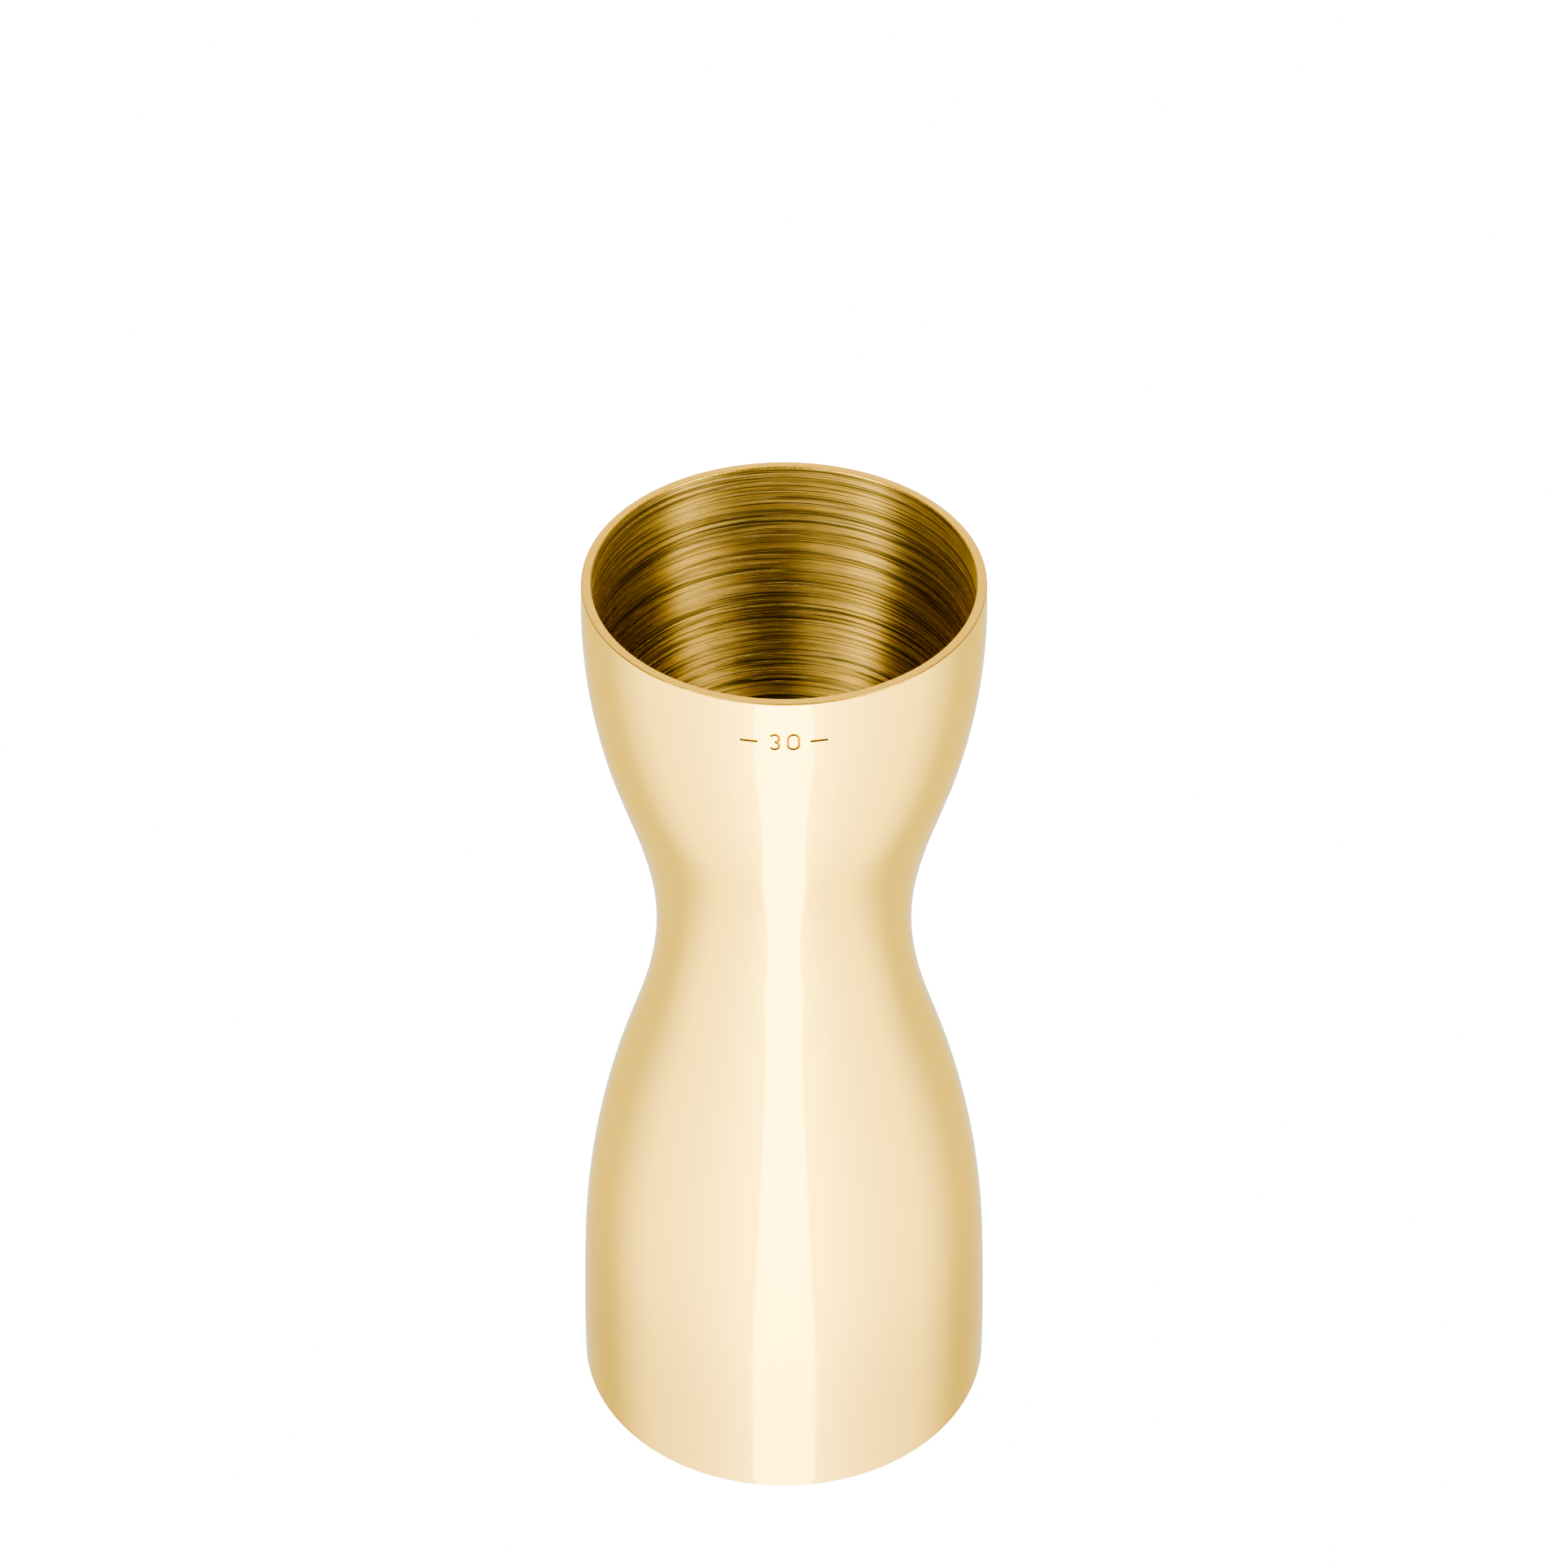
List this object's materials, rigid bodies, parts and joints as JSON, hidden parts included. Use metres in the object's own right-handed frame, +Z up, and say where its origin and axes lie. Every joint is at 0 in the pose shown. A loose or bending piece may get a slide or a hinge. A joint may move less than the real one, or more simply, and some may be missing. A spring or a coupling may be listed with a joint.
{
  "type": "bar jigger",
  "caption": "Double-ended spirit measure: two drawn metal bells joined base to base by a narrow waist.",
  "frame": {"origin": "centre of the lower cup's rim, in the plane it stands on", "axes": "+Z up along the axis of revolution, from the large cup to the small cup; the engraved mark faces -Y"},
  "size_m": [0.0438, 0.0438, 0.105],
  "materials": {
    "plated_cup": "polished",
    "plated_collar": "polished",
    "plated_weld": "polished"
  },
  "bodies": {
    "root": {"lower_cup": "plated_cup", "upper_cup": "plated_cup", "waist_collar": "plated_collar", "lower_seam_weld": "plated_weld", "upper_seam_weld": "plated_weld"}
  },
  "joints": []
}
